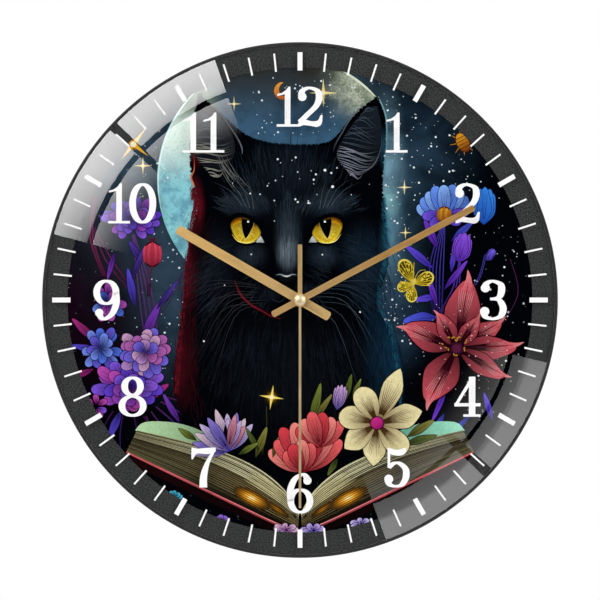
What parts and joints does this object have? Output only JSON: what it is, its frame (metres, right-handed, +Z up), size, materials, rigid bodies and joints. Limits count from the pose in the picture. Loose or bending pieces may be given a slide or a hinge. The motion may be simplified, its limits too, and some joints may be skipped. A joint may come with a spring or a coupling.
{
  "type": "wall clock",
  "caption": "Round wall clock: domed glass over a printed cat dial in a thin black shell, gold hands, and a battery quartz movement with its gear train on the back.",
  "frame": {"origin": "on the wall plane, on the axis of the hands, at the middle of the flat back of the movement case", "axes": "+Z up, dial facing -Y, +Y into the wall, +X to the right for someone looking at the dial"},
  "size_m": [0.3, 0.0373, 0.3],
  "materials": {
    "shell_plastic": "moulded black ABS with a fine moulded texture",
    "case_plastic": "moulded black polystyrene movement case, fine spark texture",
    "printed_card": "full-colour picture printed on card, satin",
    "lens_glass": "clear polished domed glass with white and charcoal ink on its front",
    "foam_tape": "white double-sided foam tape",
    "rubber": "black rubber, matt",
    "grey_foam": "closed-cell charcoal foam",
    "hand_metal": "brushed aluminium, anodised gold",
    "brass": "turned brass, lightly polished",
    "black_steel": "black oxide steel",
    "zinc_steel": "zinc-plated spring steel",
    "soft_iron": "annealed soft iron sheet",
    "magnet": "sintered magnet on a nylon pinion",
    "white_nylon": "natural white nylon",
    "red_nylon": "red nylon",
    "blue_nylon": "blue nylon",
    "copper_wire": "enamelled copper wire, wound in layers",
    "circuit_board": "green solder mask over glass-fibre board",
    "black_resin": "black potting resin",
    "battery_wrap": "plain slate-blue cell wrap with bright steel ends"
  },
  "bodies": {
    "root": {"back_shell": "shell_plastic", "tape_ring": "foam_tape", "dial_print": "printed_card", "glass_lens": "lens_glass", "cushion_ring": "rubber", "wall_pad_left": "grey_foam", "wall_pad_right": "grey_foam", "threaded_post": "brass", "nut_washer": "black_steel", "post_nut": "black_steel", "movement_case_front": "case_plastic", "movement_case_back": "case_plastic", "gear_bridge": "white_nylon", "hanger_plate": "zinc_steel", "stator_plate": "soft_iron", "coil_core": "soft_iron", "coil_bobbin": "white_nylon", "coil_winding": "copper_wire", "circuit_board": "circuit_board", "chip_blob": "black_resin", "quartz_crystal": "zinc_steel", "battery_contact_positive": "zinc_steel", "battery_contact_negative": "zinc_steel"},
    "seconds": {"second_hand": "hand_metal", "second_hand_tube": "brass", "second_hand_cap": "brass", "seconds_wheel": "white_nylon"},
    "rotor_body": {"rotor": "magnet"},
    "intermediate_body": {"intermediate_wheel": "blue_nylon"},
    "third_body": {"third_wheel": "red_nylon"},
    "minute_drive_body": {"minute_drive_wheel": "white_nylon"},
    "minutes": {"minute_hand": "hand_metal", "cannon_pinion": "brass", "clutch_washer": "zinc_steel"},
    "transfer_body": {"transfer_wheel": "white_nylon"},
    "hours": {"hour_hand": "hand_metal", "hour_wheel": "blue_nylon"},
    "setting_body": {"setting_knob": "red_nylon"},
    "battery_body": {"battery": "battery_wrap"}
  },
  "joints": [
    {"name": "seconds_spin", "type": "hinge", "parent": "root", "child": "seconds", "pos_m": [0, -0.0067, 0], "axis": [0, 1, 0], "continuous": true},
    {"name": "rotor_spin", "type": "hinge", "parent": "root", "child": "rotor_body", "pos_m": [-0.0188, -0.0049, 0.01138], "axis": [0, 1, 0], "continuous": true},
    {"name": "intermediate_spin", "type": "hinge", "parent": "root", "child": "intermediate_body", "pos_m": [-0.00866, -0.0049, 0.00866], "axis": [0, 1, 0], "continuous": true},
    {"name": "third_spin", "type": "hinge", "parent": "root", "child": "third_body", "pos_m": [0.00842, -0.0085, 0.00842], "axis": [0, 1, 0], "continuous": true},
    {"name": "minute_drive_spin", "type": "hinge", "parent": "root", "child": "minute_drive_body", "pos_m": [0, -0.011, 0], "axis": [0, 1, 0], "continuous": true},
    {"name": "minute_spin", "type": "hinge", "parent": "root", "child": "minutes", "pos_m": [0, -0.0123, 0], "axis": [0, 1, 0], "continuous": true},
    {"name": "transfer_spin", "type": "hinge", "parent": "root", "child": "transfer_body", "pos_m": [0.01, -0.0123, 0], "axis": [0, 1, 0], "continuous": true},
    {"name": "hour_spin", "type": "hinge", "parent": "root", "child": "hours", "pos_m": [0, -0.0136, 0], "axis": [0, 1, 0], "continuous": true},
    {"name": "setting_spin", "type": "hinge", "parent": "root", "child": "setting_body", "pos_m": [0.01987, -0.0123, -0.00359], "axis": [0, 1, 0], "continuous": true},
    {"name": "battery_slide", "type": "slide", "parent": "root", "child": "battery_body", "axis": [0, 1, 0], "range_m": [0, 0.02]}
  ],
  "couplings": [
    {"joint": "rotor_spin", "follows": "seconds_spin", "ratio": 30},
    {"joint": "intermediate_spin", "follows": "seconds_spin", "ratio": -6},
    {"joint": "third_spin", "follows": "seconds_spin", "ratio": -0.13333},
    {"joint": "minute_drive_spin", "follows": "seconds_spin", "ratio": 0.016667},
    {"joint": "transfer_spin", "follows": "minute_spin", "ratio": -0.33333},
    {"joint": "hour_spin", "follows": "minute_spin", "ratio": 0.083333},
    {"joint": "setting_spin", "follows": "minute_spin", "ratio": 0.83333}
  ]
}
